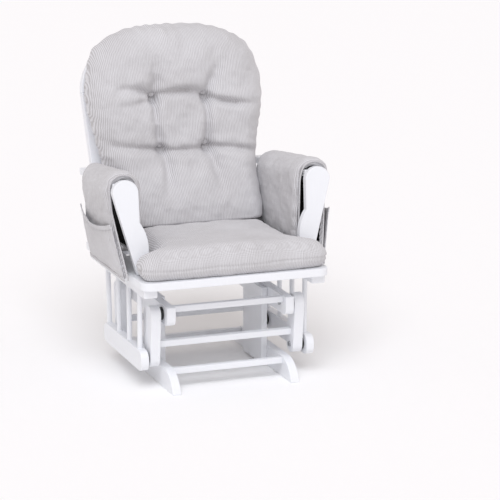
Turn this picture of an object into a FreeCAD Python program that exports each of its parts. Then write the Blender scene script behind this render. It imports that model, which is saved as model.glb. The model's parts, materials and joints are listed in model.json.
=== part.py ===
import FreeCAD, Part

import math
import os
import re

import Sketcher

# Glider nursery chair: a fixed base with two hanger beams, four swinging links and a seat that
# hangs from them.  Millimetres, the front faces -Y, +Z is up, and "left" is -X, the left of
# someone looking at the chair's front.  The origin is on the floor under the middle of the chair.

SIZES = {
    "edge_round": 2.0,
    # The glide: link pivots, measured from the middle of the base
    "glide_middle": -72.0,
    "upper_pivot_reach": 159.0,
    "upper_pivot_height": 222.0,
    "lower_pivot_reach": 146.0,
    "lower_pivot_height": 88.0,
    "link_width": 54.0,
    "link_thickness": 30.0,
    "link_plane": 221.0,
    "link_rail_height": 130.0,
    "link_rail_tall": 19.0,
    "link_rail_deep": 18.0,
    # Base
    "base_plane": 182.0,
    "base_board": 26.0,
    "foot_length": 508.0,
    "foot_height": 62.0,
    "foot_nose_run": 82.0,
    "foot_nose_radius": 92.0,
    "beam_length": 416.0,
    "beam_bottom": 192.0,
    "beam_top": 248.0,
    "beam_corner": 20.0,
    "post_front": -55.0,
    "post_rear": 105.0,
    "post_thickness": 18.0,
    "post_bottom": 6.0,
    "post_top": 242.0,
    "base_rail_reach": 176.0,
    "base_rail_deep": 18.0,
    "upper_rail_bottom": 228.0,
    "lower_rail_bottom": 42.0,
    "base_rail_tall": 18.0,
    # Pivots
    "bolt_radius": 4.0,
    "bore_radius": 4.05,
    "loose_bore_radius": 5.5,
    "bolt_head_radius": 8.0,
    "bolt_head_high": 4.0,
    "socket_across": 5.0,
    "bearing_radius": 19.0,
    "running_gap": 0.3,
    "bolt_end_cover": 4.0,
    # Moving side panels
    "side_plane": 256.0,
    "lower_side_thick": 24.0,
    "lower_side_bottom": 58.0,
    "lower_side_top": 118.0,
    "lower_side_length": 374.0,
    "lower_side_corner": 26.0,
    "upper_side_wide": 40.0,
    "upper_side_bottom": 292.0,
    "upper_side_front": -318.0,
    "upper_side_rear": 215.0,
    "spindle_radius": 7.5,
    "spindle_sunk": 3.0,
    "spindle_pitch_low": 100.0,
    "spindle_pitch_high": 105.0,
    "spindle_low_middle": -59.0,
    "spindle_high_middle": -54.5,
    # Seat frame
    "seat_bottom": 317.0,
    "seat_top": 340.0,
    "seat_front": -340.0,
    "seat_rear": 232.0,
    "seat_half_width": 285.0,
    "seat_corner": 32.0,
    "seat_front_deep": 85.0,
    "seat_side_wide": 63.0,
    "seat_rear_deep": 60.0,
    "slat_thickness": 12.0,
    "seat_slat_wide": 50.0,
    # Arms
    "arm_post_thick": 22.0,
    "arm_post_lean": 5.4,
    "arm_post_foot": -225.0,
    "arm_post_long": 277.0,
    "arm_head_radius": 38.5,
    "arm_head_plane": 294.5,
    "armrest_top": 603.0,
    "armrest_thick": 20.0,
    "armrest_fall": 4.4,
    "armrest_front": -189.9,
    "armrest_length": 423.6,
    "armrest_front_plane": 294.0,
    "armrest_rear_plane": 271.0,
    "armrest_waist": 345.0,
    "armrest_wide": 62.0,
    # Back frame: rake in degrees, and where its front face crosses the seat frame's top
    "back_rake": 12.5,
    "back_foot": 185.5,
    "stile_deep": 26.0,
    "stile_wide": 42.0,
    "stile_foot_plane": 226.0,
    "stile_knee_plane": 254.0,
    "stile_long": 455.0,
    "arch_corner": 150.0,
    "arch_drop": 250.0,
    "back_low_rail": 62.0,
    "back_low_rail_tall": 50.0,
    "back_slat_wide": 36.0,
    "back_slat_pitch": 78.0,
    "back_slat_sink": 10.0,
    # Cushions
    "seat_cushion_top": 416.0,
    "seat_cushion_front": -348.45,
    "seat_cushion_ear": -244.0,
    "seat_cushion_rear": 178.0,
    "seat_cushion_ear_half": 288.0,
    "seat_cushion_half": 228.0,
    "back_cushion_bottom": 417.0,
    "back_cushion_top": 991.0,
    "back_cushion_half": 282.0,
    "back_cushion_low_half": 236.0,
    "back_cushion_deep": 131.0,
    "button_radius": 12.0,
    "button_thick": 7.0,
    "button_sink": 30.0,
    "button_pit_radius": 14.0,
    "upper_button_plane": 82.0,
    "upper_button_height": 776.0,
    "lower_button_plane": 72.0,
    "lower_button_height": 626.0,
    # Arm pads, a saddle over each armrest, with a pocket on the outer side
    "pad_front": -176.0,
    "pad_length": 326.0,
    "pad_top": 640.0,
    "pad_rear_drop": 25.0,
    "pad_rear_inset": 16.0,
    "pad_outer": 350.0,
    "pad_outer_low": 304.0,
    "pad_outer_bottom": 322.0,
    "pad_inner": 244.0,
    "pad_inner_bottom": 398.0,
    "pad_inner_fall": 20.0,
    "pad_outer_short": 46.0,
    "pad_nose": 62.0,
    "pad_nose_tall": 12.0,
    "pad_thickness": 20.0,
    "pad_hollow_top": 606.0,
    "pad_shoulder": 585.0,
    "pocket_mouth": 480.0,
    "pocket_bottom": 328.0,
    "pocket_gape": 18.0,
    "pocket_cloth": 3.0,
}

SIDES = (("left", -1), ("right", 1))
ENDS = (("front", -1), ("rear", 1))
ALONG_X = FreeCAD.Vector(1, 0, 0)
ALONG_Y = FreeCAD.Vector(0, 1, 0)

doc = FreeCAD.newDocument("glider_chair")
sheet = doc.addObject("Spreadsheet::Sheet", "Sizes")
for row, (alias, size) in enumerate(SIZES.items(), start=1):
    sheet.set(f"A{row}", alias.replace("_", " "))
    sheet.set(f"B{row}", str(size))
    sheet.setAlias(f"B{row}", alias)
doc.recompute()

finished = []


def formula(text):
    """Point every size name in an expression, such as 'foot_length / 2', at the sheet."""
    return re.sub(r"[a-z]+(?:_[a-z]+)+", lambda name: "Sizes." + name.group(), str(text))


def value(text):
    """The number that an expression on the sheet gives now."""
    return float(sheet.evalExpression(formula(text)))


def bind(item, settings):
    """Bind properties of an object to expressions on the sheet."""
    for path, text in settings.items():
        item.setExpression(path, formula(text))


def place(item, at, axis=ALONG_X, angle=0):
    """Bind an object's position, and turn it about one axis by an angle in degrees."""
    turn = FreeCAD.Rotation(axis, value(angle))
    item.Placement = FreeCAD.Placement(FreeCAD.Vector(*[value(text) for text in at]), turn)
    bind(item, {f"Placement.Base.{name}": text for name, text in zip("xyz", at)})


def keep(item, label):
    """List an object as a finished sub-part, under the name of its node."""
    item.Label = label
    finished.append(item)
    return item


def new_body(label):
    return keep(doc.addObject("PartDesign::Body", label), label)


def origin_plane(body, role):
    return next(item for item in body.Origin.OriginFeatures if item.Role == role)


def arc_between(start, end, radius):
    """An arc that bulges to the right of the way it runs, or to the left if its radius is minus.

    Its own direction is always anticlockwise, as a sketch's arcs are."""
    if radius < 0:
        return arc_between(end, start, -radius)
    chord = end - start
    outward = FreeCAD.Vector(chord.y, -chord.x, 0).normalize()
    rise = radius - math.sqrt(radius**2 - chord.Length**2 / 4)
    return Part.Arc(start, (start + end) / 2 + outward * rise, end)


def add_outline(sketch, corners):
    """Draw a closed outline, anticlockwise, and bind every corner to the sheet.

    Each corner is (across, up), and a third entry is the radius of an arc to the next corner."""
    points = [FreeCAD.Vector(value(corner[0]), value(corner[1]), 0) for corner in corners]
    starts = []
    for index, corner in enumerate(corners):
        ahead = points[(index + 1) % len(points)]
        if len(corner) == 3:
            edge = arc_between(points[index], ahead, value(corner[2]))
        else:
            edge = Part.LineSegment(points[index], ahead)
        number = sketch.addGeometry(edge, False)
        drawn = sketch.Geometry[number]
        starts.append(1 if drawn.StartPoint.distanceToPoint(points[index]) < 1e-6 else 2)
    for index, corner in enumerate(corners):
        ahead = (index + 1) % len(corners)
        sketch.addConstraint(
            Sketcher.Constraint("Coincident", index, 3 - starts[index], ahead, starts[ahead])
        )
        for kind, text, size in zip(("DistanceX", "DistanceY"), corner, points[index]):
            number = sketch.addConstraint(Sketcher.Constraint(kind, index, starts[index], size))
            sketch.setExpression(f"Constraints[{number}]", formula(text))
        if len(corner) == 3:
            radius = abs(value(corner[2]))
            number = sketch.addConstraint(Sketcher.Constraint("Radius", index, radius))
            sketch.setExpression(f"Constraints[{number}]", formula(f"abs({corner[2]})"))


def new_sketch(body, role, corners, offset=0):
    """A bound outline on one of the body's own origin planes, moved off it along its normal."""
    sketch = body.newObject("Sketcher::SketchObject", body.Name + "_outline")
    sketch.AttachmentSupport = [(origin_plane(body, role), "")]
    sketch.MapMode = "FlatFace"
    sketch.AttachmentOffset = FreeCAD.Placement(FreeCAD.Vector(0, 0, value(offset)), FreeCAD.Rotation())
    bind(sketch, {"AttachmentOffset.Base.z": offset})
    add_outline(sketch, corners)
    return sketch


def round_edges(body, radius="edge_round"):
    """Ease every edge of a body, as a sanded board's are."""
    doc.recompute()
    sawn = body.Tip
    edges = [f"Edge{number}" for number in range(1, len(sawn.Shape.Edges) + 1)]
    fillet = body.newObject("PartDesign::Fillet", body.Name + "_eased")
    fillet.Base = (sawn, edges)
    bind(fillet, {"Radius": radius})
    return fillet


def board(label, role, corners, thickness, at, axis=ALONG_X, angle=0, eased="edge_round"):
    """A board of one thickness, centred on its own plane, with an outline and eased edges."""
    body = new_body(label)
    outline = new_sketch(body, role, corners)
    pad = body.newObject("PartDesign::Pad", label + "_pad")
    pad.Profile = outline
    pad.SideType = "Symmetric"
    bind(pad, {"Length": thickness})
    if eased:
        round_edges(body, eased)
    place(body, at, axis, angle)
    return body


def plank(label, size, at, axis=ALONG_X, angle=0):
    """A straight plank of a given size, centred on a point."""
    body = new_body(label)
    block = body.newObject("PartDesign::AdditiveBox", label + "_block")
    bind(block, dict(zip(("Length", "Width", "Height"), size)))
    middle = [f"-({text}) / 2" for text in size]
    place(block, middle)
    round_edges(body)
    place(body, at, axis, angle)
    return body


def bore(body, radius, depth, at):
    """Cut a round hole along X from a point in the body's own frame; a minus depth cuts to -X."""
    cut = body.newObject("PartDesign::SubtractiveCylinder", body.Name + "_bore")
    bind(cut, {"Radius": radius, "Height": f"abs({depth})"})
    place(cut, at, ALONG_Y, math.copysign(90, value(depth)))
    return cut


def group(label, solids):
    """Several like pieces that share one node."""
    compound = doc.addObject("Part::Compound", label)
    compound.Links = solids
    return keep(compound, label)


def rod(name, radius, length, at, axis, angle):
    """A bound cylinder, turned from +Z about one axis."""
    cylinder = doc.addObject("Part::Cylinder", name)
    bind(cylinder, {"Radius": radius, "Height": length})
    place(cylinder, at, axis, angle)
    return cylinder


def beside(side, text):
    """An expression for a place across the chair, on the left (-1) or the right (1)."""
    return f"{side} * ({text})"


def along(end, text):
    """A place along the glide, measured from its middle, at the front (-1) or the rear (1)."""
    return f"glide_middle + {end} * ({text})"


def bolt(name, side, inner_face, outer_end, y, z):
    """A socket-head bolt along X: its head stands on an inner face and its shank points outwards."""
    outward = 90 * side
    length = f"{outer_end} - ({inner_face}) + bolt_head_high"
    start = (beside(side, f"{inner_face} - bolt_head_high"), y, z)
    shank = rod(name + "_shank", "bolt_radius", length, start, ALONG_Y, outward)
    head = rod(name + "_head", "bolt_head_radius", "bolt_head_high", start, ALONG_Y, outward)
    whole = doc.addObject("Part::Fuse", name + "_whole")
    whole.Base = shank
    whole.Tool = head
    socket = doc.addObject("Part::Prism", name + "_socket")
    socket.Polygon = 6
    bind(socket, {"Circumradius": "socket_across / 2 / cos(30)", "Height": "bolt_head_high - 1"})
    place(socket, start, ALONG_Y, outward)
    made = doc.addObject("Part::Cut", name)
    made.Base = whole
    made.Tool = socket
    return made


def ring(name, side, inner_face, outer_face, y, z, radius="bore_radius"):
    """A black bearing ring along X between two boards."""
    start = (beside(side, inner_face), y, z)
    length = f"{outer_face} - ({inner_face})"
    disc = rod(name + "_disc", "bearing_radius", length, start, ALONG_Y, 90 * side)
    hole = rod(name + "_hole", radius, length, start, ALONG_Y, 90 * side)
    made = doc.addObject("Part::Cut", name)
    made.Base = disc
    made.Tool = hole
    return made


# ---------------------------------------------------------------- base


def make_base_side(name, side):
    """A foot on the floor, a hanger beam above it, and a post that laps both on the inside."""
    nose = "foot_length / 2 - foot_nose_run"
    foot = [
        ("-foot_length / 2", "0"),
        ("foot_length / 2", "0", "foot_nose_radius"),
        (nose, "foot_height"),
        (f"-({nose})", "foot_height", "foot_nose_radius"),
    ]
    board(f"{name}_foot", "YZ_Plane", foot, "base_board", (beside(side, "base_plane"), "glide_middle", "0"))
    corner = "beam_length / 2 - beam_corner"
    beam = [
        (f"-({corner})", "beam_bottom"),
        (corner, "beam_bottom", "beam_corner"),
        ("beam_length / 2", "beam_bottom + beam_corner"),
        ("beam_length / 2", "beam_top"),
        ("-beam_length / 2", "beam_top"),
        ("-beam_length / 2", "beam_bottom + beam_corner", "beam_corner"),
    ]
    at = (beside(side, "base_plane"), "glide_middle", "0")
    body = board(f"{name}_hanger_beam", "YZ_Plane", beam, "base_board", at)
    for _, end in ENDS:
        pivot = ("-base_board", f"{end} * upper_pivot_reach", "upper_pivot_height")
        bore(body, "bore_radius", "2 * base_board", pivot)
    plank(
        f"{name}_post",
        ("post_thickness", "post_rear - post_front", "post_top - post_bottom"),
        (
            beside(side, "base_plane - base_board / 2 - post_thickness / 2"),
            "glide_middle + (post_front + post_rear) / 2",
            "(post_bottom + post_top) / 2",
        ),
    )


def make_base_rails():
    """Four cross rails hold the two sides of the base apart."""
    between = "2 * base_plane - base_board"
    for end_name, end in ENDS:
        for level in ("upper", "lower"):
            plank(
                f"{end_name}_{level}_rail",
                (between, "base_rail_deep", "base_rail_tall"),
                ("0", along(end, "base_rail_reach"), f"{level}_rail_bottom + base_rail_tall / 2"),
            )


# ---------------------------------------------------------------- links


def make_links(end_name, end):
    """Two links and the rail between them, hung from the beams, slanting in as they go down."""
    length = "sqrt((upper_pivot_reach - lower_pivot_reach)^2 + (upper_pivot_height - lower_pivot_height)^2)"
    lean = "atan((upper_pivot_reach - lower_pivot_reach) / (upper_pivot_height - lower_pivot_height))"
    half = "link_width / 2"
    outline = [
        (f"-{half}", f"-({length})", f"{half} * 1.002"),
        (half, f"-({length})"),
        (half, "0", f"{half} * 1.002"),
        (f"-{half}", "0"),
    ]
    pivot_y = along(end, "upper_pivot_reach")
    for name, side in SIDES:
        at = (beside(side, "link_plane"), pivot_y, "upper_pivot_height")
        body = board(
            f"{name}_{end_name}_link", "YZ_Plane", outline, "link_thickness", at, ALONG_X, f"{-end} * {lean}"
        )
        inner = beside(-side, "link_thickness / 2 + 1")
        bore(body, "bore_radius", beside(side, "link_thickness - bolt_end_cover + 2"), (inner, "0", "0"))
        bore(body, "bore_radius", beside(side, "link_thickness + 2"), (inner, "0", f"-({length})"))
    slope = "(upper_pivot_reach - lower_pivot_reach) / (upper_pivot_height - lower_pivot_height)"
    reach = f"upper_pivot_reach - {slope} * (upper_pivot_height - link_rail_height)"
    plank(
        f"{end_name}_link_rail",
        ("2 * link_plane - link_thickness", "link_rail_deep", "link_rail_tall"),
        ("0", along(end, reach), "link_rail_height"),
        ALONG_X,
        f"{-end} * {lean}",
    )


def make_pivots():
    """Bolts and black bearing rings at the eight pivots."""
    beam_inner = "base_plane - base_board / 2"
    beam_outer = "base_plane + base_board / 2"
    link_inner = "link_plane - link_thickness / 2"
    link_outer = "link_plane + link_thickness / 2"
    side_inner = "side_plane - lower_side_thick / 2"
    side_outer = "side_plane + lower_side_thick / 2"
    upper_bolts = []
    lower_bearings = []
    for end_name, end in ENDS:
        top = (along(end, "upper_pivot_reach"), "upper_pivot_height")
        low = (along(end, "lower_pivot_reach"), "lower_pivot_height")
        loose = "bore_radius" if end_name == "front" else "loose_bore_radius"
        upper_bearings = []
        lower_bolts = []
        for name, side in SIDES:
            stem = f"{name}_{end_name}"
            shank_end = f"{link_outer} - bolt_end_cover - 1"
            upper_bolts.append(bolt(f"{stem}_upper_bolt", side, beam_inner, shank_end, *top))
            gap = f"{beam_outer} + running_gap"
            upper_bearings.append(ring(f"{stem}_upper_ring", side, gap, link_inner, *top))
            shank_end = f"{side_outer} - bolt_end_cover - 1"
            lower_bolts.append(bolt(f"{stem}_lower_bolt", side, link_inner, shank_end, *low))
            gap = f"{link_outer} + running_gap"
            lower_bearings.append(ring(f"{stem}_lower_ring", side, gap, side_inner, *low, loose))
        group(f"{end_name}_upper_bearings", upper_bearings)
        group(f"{end_name}_lower_bolts", lower_bolts)
    group("upper_pivot_bolts", upper_bolts)
    group("lower_bearings", lower_bearings)


# ---------------------------------------------------------------- seat


def make_side_panel(name, side):
    """The moving side: a lower rail on the links, four fanned spindles and an upper rail."""
    half = "lower_side_length / 2"
    corner = "lower_side_corner"
    middle = "(lower_side_bottom + lower_side_top) / 2"
    tall = "(lower_side_top - lower_side_bottom) / 2"
    outline = [
        (f"-({half} - {corner})", f"-{tall}"),
        (f"{half} - {corner}", f"-{tall}", corner),
        (half, f"{corner} - {tall}"),
        (half, f"{tall} - {corner}", corner),
        (f"{half} - {corner}", tall),
        (f"-({half} - {corner})", tall, corner),
        (f"-{half}", f"{tall} - {corner}"),
        (f"-{half}", f"{corner} - {tall}", corner),
    ]
    at = (beside(side, "side_plane"), "glide_middle", middle)
    body = board(f"{name}_lower_side_rail", "YZ_Plane", outline, "lower_side_thick", at)
    inner = beside(-side, "lower_side_thick / 2 + 1")
    depth = beside(side, "lower_side_thick - bolt_end_cover + 1")
    for radius, end in (("bore_radius", -1), ("loose_bore_radius", 1)):
        bore(body, radius, depth, (inner, f"{end} * lower_pivot_reach", f"lower_pivot_height - {middle}"))
    plank(
        f"{name}_upper_side_rail",
        ("upper_side_wide", "upper_side_rear - upper_side_front", "seat_bottom - upper_side_bottom"),
        (
            beside(side, "side_plane"),
            "(upper_side_front + upper_side_rear) / 2",
            "(upper_side_bottom + seat_bottom) / 2",
        ),
    )
    spindles = []
    for step in (-1.5, -0.5, 0.5, 1.5):
        low = f"spindle_low_middle + {step} * spindle_pitch_low"
        high = f"spindle_high_middle + {step} * spindle_pitch_high"
        rise = "upper_side_bottom - lower_side_top + 2 * spindle_sunk"
        shift = value(f"{high} - ({low})")
        tilt = -math.degrees(math.atan2(shift, value(rise)))
        length = f"sqrt(({high} - ({low}))^2 + ({rise})^2)"
        at = (beside(side, "side_plane"), low, "lower_side_top - spindle_sunk")
        spindles.append(rod(f"{name}_spindle", "spindle_radius", length, at, ALONG_X, tilt))
    group(f"{name}_spindles", spindles)


def make_seat_frame():
    """A front board with round corners, two side boards, a rear board and slats between them."""
    thick = "seat_top - seat_bottom"
    level = "(seat_top + seat_bottom) / 2"
    half = "seat_half_width"
    back_of_front = "seat_front + seat_front_deep"
    front = [
        (f"-({half} - seat_corner)", "seat_front"),
        (f"{half} - seat_corner", "seat_front", "seat_corner"),
        (half, "seat_front + seat_corner"),
        (half, back_of_front),
        (f"-{half}", back_of_front),
        (f"-{half}", "seat_front + seat_corner", "seat_corner"),
    ]
    board("seat_front_rail", "XY_Plane", front, thick, ("0", "0", level))
    for name, side in SIDES:
        plank(
            f"{name}_seat_side_rail",
            ("seat_side_wide", f"seat_rear - ({back_of_front})", thick),
            (beside(side, f"{half} - seat_side_wide / 2"), f"(seat_rear + {back_of_front}) / 2", level),
        )
    inside = f"2 * ({half} - seat_side_wide)"
    plank("seat_rear_rail", (inside, "seat_rear_deep", thick), ("0", "seat_rear - seat_rear_deep / 2", level))
    slats = []
    clear = f"(seat_rear - seat_rear_deep - ({back_of_front}))"
    for number in range(4):
        slat = doc.addObject("Part::Box", "seat_slat")
        bind(slat, {"Length": inside, "Width": "seat_slat_wide", "Height": "slat_thickness"})
        middle = f"{back_of_front} + {clear} * {number + 0.5} / 4"
        place(slat, (f"-({inside}) / 2", f"{middle} - seat_slat_wide / 2", f"{level} - slat_thickness / 2"))
        slats.append(slat)
    group("seat_slats", slats)


def make_arm(name, side):
    """A flared post with a round head, and an armrest from it back to the stile."""
    neck = "arm_post_long - arm_head_radius"
    inner = "arm_head_plane - arm_head_radius"
    outer = "arm_head_plane + arm_head_radius"
    outline = [
        ("arm_head_plane - 63", "0"),
        ("seat_half_width - 17", "0"),
        ("seat_half_width - 2", "52"),
        (outer, neck, "arm_head_radius * 1.002"),
        (inner, neck),
        ("arm_head_plane - 39", "150", 130),
        ("arm_head_plane - 63", "70", -150),
    ]
    if side < 0:
        outline = mirrored(outline)
    at = ("0", "arm_post_foot", "seat_top + arm_post_thick / 2 * sin(arm_post_lean)")
    board(f"{name}_arm_post", "XZ_Plane", outline, "arm_post_thick", at, ALONG_X, "-arm_post_lean")
    half = "armrest_wide / 2"
    plan = [
        (f"armrest_front_plane - {half}", "0"),
        (f"armrest_front_plane + {half}", "0"),
        (f"armrest_rear_plane + {half}", "armrest_length"),
        (f"armrest_rear_plane - {half}", "armrest_length"),
        (f"armrest_front_plane - {half}", "armrest_waist"),
    ]
    if side < 0:
        plan = mirrored(plan)
    at = ("0", "armrest_front", "armrest_top - armrest_thick / 2")
    board(f"{name}_armrest", "XY_Plane", plan, "armrest_thick", at, ALONG_X, "-armrest_fall")


def mirrored(corners):
    """The same outline on the other side of the chair, still anticlockwise."""
    count = len(corners)
    flipped = []
    for index in range(count - 1, -1, -1):
        across, up = corners[index][:2]
        radius = corners[(index - 1) % count][2:]
        flipped.append((f"-({across})", up) + radius)
    return flipped


def make_back_frame():
    """Two splayed stiles, an arched top rail, a low rail and upright slats, all leaning back."""
    half = "stile_wide / 2"
    at = (
        "0",
        "back_foot + stile_deep / 2 / cos(back_rake)",
        "seat_top + stile_deep / 2 * sin(back_rake)",
    )
    for name, side in SIDES:
        outline = [
            (f"stile_foot_plane - {half}", "0"),
            (f"stile_foot_plane + {half}", "0"),
            (f"stile_knee_plane + {half}", "stile_long"),
            (f"stile_knee_plane - {half}", "stile_long"),
        ]
        if side < 0:
            outline = mirrored(outline)
        board(f"{name}_back_stile", "XZ_Plane", outline, "stile_deep", at, ALONG_X, "-back_rake")
    corner = "(stile_knee_plane + stile_wide / 2 - arch_corner)"
    reach = f"sqrt({corner}^2 + arch_drop^2)"
    arch = []
    for radius, turn in (("arch_corner", 1), ("(arch_corner - stile_wide)", -1)):
        shoulder = f"({corner} + {radius} * {corner} / {reach})"
        height = f"stile_long + {radius} * arch_drop / {reach}"
        arch += [
            (f"{turn} * ({corner} + {radius})", "stile_long", f"{turn} * {radius}"),
            (f"{turn} * {shoulder}", height, f"{turn} * ({reach} + {radius})"),
            (f"-{turn} * {shoulder}", height, f"{turn} * {radius}"),
            (f"-{turn} * ({corner} + {radius})", "stile_long"),
        ]
    top_rail = board("back_top_rail", "XZ_Plane", arch, "stile_deep", at, ALONG_X, "-back_rake")
    low_half = "stile_foot_plane - stile_wide / 2 + 2"
    low = [
        (f"-({low_half})", "back_low_rail"),
        (low_half, "back_low_rail"),
        (f"{low_half} + 3", "back_low_rail + back_low_rail_tall"),
        (f"-({low_half} + 3)", "back_low_rail + back_low_rail_tall"),
    ]
    board("back_low_rail", "XZ_Plane", low, "stile_deep - 4", at, ALONG_X, "-back_rake")
    slats = []
    foot = "back_low_rail + back_low_rail_tall"
    for number in (-2, -1, 0, 1, 2):
        rise = f"stile_long + {corner} + 18 - {abs(number) ** 2} * back_slat_sink"
        slat = doc.addObject("Part::Box", "back_slat_blank")
        bind(slat, {"Length": "back_slat_wide", "Width": "slat_thickness", "Height": f"{rise} - ({foot})"})
        across = f"{number} * back_slat_pitch - back_slat_wide / 2"
        behind = f"{at[1]} + ({foot}) * sin(back_rake) - slat_thickness / 2 * cos(back_rake)"
        above = f"{at[2]} + ({foot}) * cos(back_rake) + slat_thickness / 2 * sin(back_rake)"
        place(slat, (across, behind, above), ALONG_X, "-back_rake")
        fitted = doc.addObject("Part::Cut", "back_slat")
        fitted.Base = slat
        fitted.Tool = top_rail
        slats.append(fitted)
    group("back_slats", slats)


# ---------------------------------------------------------------- cushions and pads


def make_seat_cushion():
    """A thick T: wide ears in front of the arm posts, narrower between the arms."""
    outline = [
        ("-(seat_cushion_ear_half - 30)", "seat_cushion_front"),
        ("seat_cushion_ear_half - 30", "seat_cushion_front", 30),
        ("seat_cushion_ear_half", "seat_cushion_front + 30"),
        ("seat_cushion_ear_half", "seat_cushion_ear"),
        ("seat_cushion_half", "seat_cushion_ear"),
        ("seat_cushion_half", "seat_cushion_rear"),
        ("-seat_cushion_half", "seat_cushion_rear"),
        ("-seat_cushion_half", "seat_cushion_ear"),
        ("-seat_cushion_ear_half", "seat_cushion_ear"),
        ("-seat_cushion_ear_half", "seat_cushion_front + 30", 30),
    ]
    deep = "seat_cushion_top - seat_top - running_gap"
    at = ("0", "0", "(seat_cushion_top + seat_top + running_gap) / 2")
    board("seat_cushion", "XY_Plane", outline, deep, at, eased=None)


def prism(name, role, corners, thickness):
    """A plain extruded outline, used only as one half of a boolean."""
    body = doc.addObject("PartDesign::Body", name)
    outline = new_sketch(body, role, corners)
    pad = body.newObject("PartDesign::Pad", name + "_pad")
    pad.Profile = outline
    pad.SideType = "Symmetric"
    bind(pad, {"Length": thickness})
    return body


def back_line(height, ahead):
    """How far back a plane in front of the raked back frame is, at a height above the floor."""
    return f"back_foot + ({height} - seat_top) * tan(back_rake) - ({ahead}) / cos(back_rake)"


def make_back_cushion():
    """The side profile, thick at the bottom and thin at the top, cut to the arched front outline."""
    bottom = "back_cushion_bottom"
    top = "back_cushion_top"
    deep = "back_cushion_deep"
    side = [
        (back_line(f"{bottom}", f"{deep} + 34"), bottom),
        (back_line(bottom, "1"), bottom),
        (back_line(f"{top} - 18", "1"), f"{top} - 18", 45),
        (back_line(top, "62"), top, 160),
        (back_line("880", deep), "880"),
        (back_line("626", deep), "626", 420),
        (back_line("470", f"{deep} + 44"), "470", 60),
    ]
    half = "back_cushion_half"
    low_half = "back_cushion_low_half"
    front = [
        (f"-({low_half} - 14)", bottom),
        (f"{low_half} - 14", bottom),
        (low_half, "622"),
        (f"{half} - 18", "664", 420),
        (half, "790", 165),
        (f"{half} - 92", f"{top} - 40", 420),
        (f"-({half} - 92)", f"{top} - 40", 165),
        (f"-{half}", "790", 420),
        (f"-({half} - 18)", "664"),
        (f"-{low_half}", "622"),
    ]
    shape = doc.addObject("Part::Common", "back_cushion_block")
    shape.Base = prism("back_cushion_side", "YZ_Plane", side, f"3 * {half}")
    shape.Tool = prism("back_cushion_front", "XZ_Plane", front, "1200")
    pits = []
    buttons = []
    for level in ("upper", "lower"):
        for name, side_sign in SIDES:
            seat = f"{deep} - button_sink"
            height = f"{level}_button_height"
            at = (beside(side_sign, f"{level}_button_plane"), back_line(height, seat), height)
            tip = "90 + back_rake"
            buttons.append(rod(f"{name}_{level}_button", "button_radius", "button_thick", at, ALONG_X, tip))
            pits.append(rod(f"{name}_{level}_pit", "button_pit_radius", "button_sink + 60", at, ALONG_X, tip))
    pit_group = doc.addObject("Part::Compound", "button_pits")
    pit_group.Links = pits
    cushion = doc.addObject("Part::Cut", "back_cushion")
    cushion.Base = shape
    cushion.Tool = pit_group
    keep(cushion, "back_cushion")
    group("cushion_buttons", buttons)


def pad_face(height):
    """How far out the outer face of an arm pad is, at a height on its sloping outer flap."""
    slope = "(pad_outer - pad_outer_low) / (pad_shoulder - pad_outer_bottom)"
    return f"pad_outer_low + {slope} * ({height} - pad_outer_bottom)"


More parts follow.
